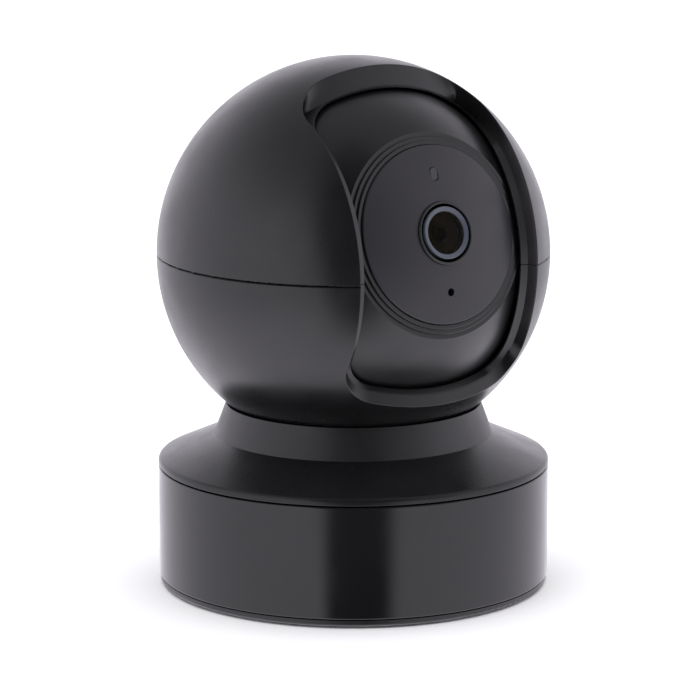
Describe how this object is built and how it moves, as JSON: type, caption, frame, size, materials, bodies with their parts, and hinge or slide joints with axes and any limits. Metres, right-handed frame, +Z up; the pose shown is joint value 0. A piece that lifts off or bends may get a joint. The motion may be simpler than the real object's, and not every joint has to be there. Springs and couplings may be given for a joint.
{
  "type": "security camera",
  "caption": "Free-standing pan-and-tilt security camera: a ball turns on a round base and a drum in its opening tips the round lens face up and down.",
  "frame": {"origin": "centre of the underside, on the pan axis, in the plane that the foot ring rests on", "axes": "+Z up along the pan axis; -Y is the way the ball's opening faces at rest; +X is the camera's own left"},
  "size_m": [0.088, 0.088, 0.119],
  "materials": {
    "base_plastic": "satin black, finely textured",
    "collar_plastic": "matte dark grey",
    "under_plastic": "matte black",
    "ball_plastic": "satin black",
    "drum_plastic": "satin black",
    "face_plastic": "smooth dark grey, lets infrared light through",
    "bezel_plastic": "gloss black",
    "lens_ring_metal": "blue-grey anodised",
    "light_pipe": "smoked clear plastic",
    "lens_glass": "dark coated glass",
    "lens_black": "matte black",
    "foot_rubber": "matte black rubber",
    "screw_steel": "zinc-plated steel",
    "inner_plastic": "moulded dark grey",
    "gear_acetal": "natural acetal",
    "motor_steel": "plated steel",
    "board_green": "solder resist",
    "chip_black": "black epoxy",
    "lamp_clear": "clear epoxy"
  },
  "bodies": {
    "base": {"base_shell": "base_plastic", "base_top_cover": "base_plastic", "neck_collar": "collar_plastic", "bottom_cover": "under_plastic", "foot_ring": "foot_rubber", "bottom_cover_screws": "screw_steel", "pan_deck": "inner_plastic", "pan_motor": "motor_steel", "pan_motor_screws": "screw_steel", "pan_bush": "gear_acetal", "head_harness": "chip_black", "power_board": "board_green", "usb_socket": "motor_steel", "power_board_parts": "chip_black", "reset_switch": "chip_black", "card_socket": "motor_steel"},
    "head": {"pan_gear": "gear_acetal", "pan_retaining_ring": "inner_plastic", "pan_hub": "inner_plastic", "hub_screws": "screw_steel", "ball_upper_shell": "ball_plastic", "ball_lower_shell": "ball_plastic", "tilt_bracket_left": "inner_plastic", "tilt_bracket_right": "inner_plastic", "bracket_screws": "screw_steel", "tilt_bushes": "gear_acetal", "tilt_motor": "motor_steel", "main_board": "board_green", "main_board_parts": "chip_black", "speaker": "chip_black", "speaker_gasket": "foot_rubber", "wifi_antenna": "board_green", "tilt_limit_switch": "chip_black"},
    "drum": {"drum_front_shell": "drum_plastic", "drum_rear_cover": "drum_plastic", "rear_cover_screws": "screw_steel", "face_plate": "face_plastic", "lens_bezel": "bezel_plastic", "indicator_light_pipe": "light_pipe", "lens_barrel": "lens_black", "lens_front_ring": "lens_ring_metal", "lens_front_glass": "lens_glass", "lens_aperture_ring": "lens_black", "lens_inner_glass": "lens_glass", "lens_holder": "lens_black", "sensor_board": "board_green", "sensor_board_screws": "screw_steel", "image_sensor": "chip_black", "sensor_board_parts": "chip_black", "infrared_board": "board_green", "infrared_lamps": "lamp_clear", "indicator_led": "lamp_clear", "microphone": "motor_steel", "microphone_seal": "foot_rubber", "tilt_gear": "gear_acetal", "tilt_axles": "gear_acetal"},
    "pan_pinion": {"pan_pinion": "gear_acetal"},
    "tilt_pinion": {"tilt_pinion": "gear_acetal"},
    "reset_button": {"reset_button": "base_plastic"},
    "memory_card": {"memory_card": "chip_black"}
  },
  "joints": [
    {"name": "head_pan", "type": "hinge", "parent": "base", "child": "head", "pos_m": [0, 0, 0.033], "axis": [0, 0, 1], "range_deg": [-170, 170]},
    {"name": "drum_tilt", "type": "hinge", "parent": "head", "child": "drum", "pos_m": [0, 0, 0.075], "axis": [-1, 0, 0], "range_deg": [-40, 45]},
    {"name": "pan_pinion_spin", "type": "hinge", "parent": "base", "child": "pan_pinion", "pos_m": [-0.0186, 0, 0.029], "axis": [0, 0, 1], "range_deg": [-720, 720]},
    {"name": "tilt_pinion_spin", "type": "hinge", "parent": "head", "child": "tilt_pinion", "pos_m": [0.0245, 0.012, 0.075], "axis": [-1, 0, 0], "range_deg": [-150, 150]},
    {"name": "reset_press", "type": "slide", "parent": "base", "child": "reset_button", "axis": [0, -1, 0], "range_m": [0, 0.0005], "stiffness_N_per_m": 1500},
    {"name": "card_slide", "type": "slide", "parent": "base", "child": "memory_card", "axis": [0.6157, 0.788, 0], "range_m": [0, 0.012]}
  ],
  "couplings": [
    {"joint": "pan_pinion_spin", "follows": "head_pan", "ratio": -4.1667},
    {"joint": "tilt_pinion_spin", "follows": "drum_tilt", "ratio": -3}
  ]
}
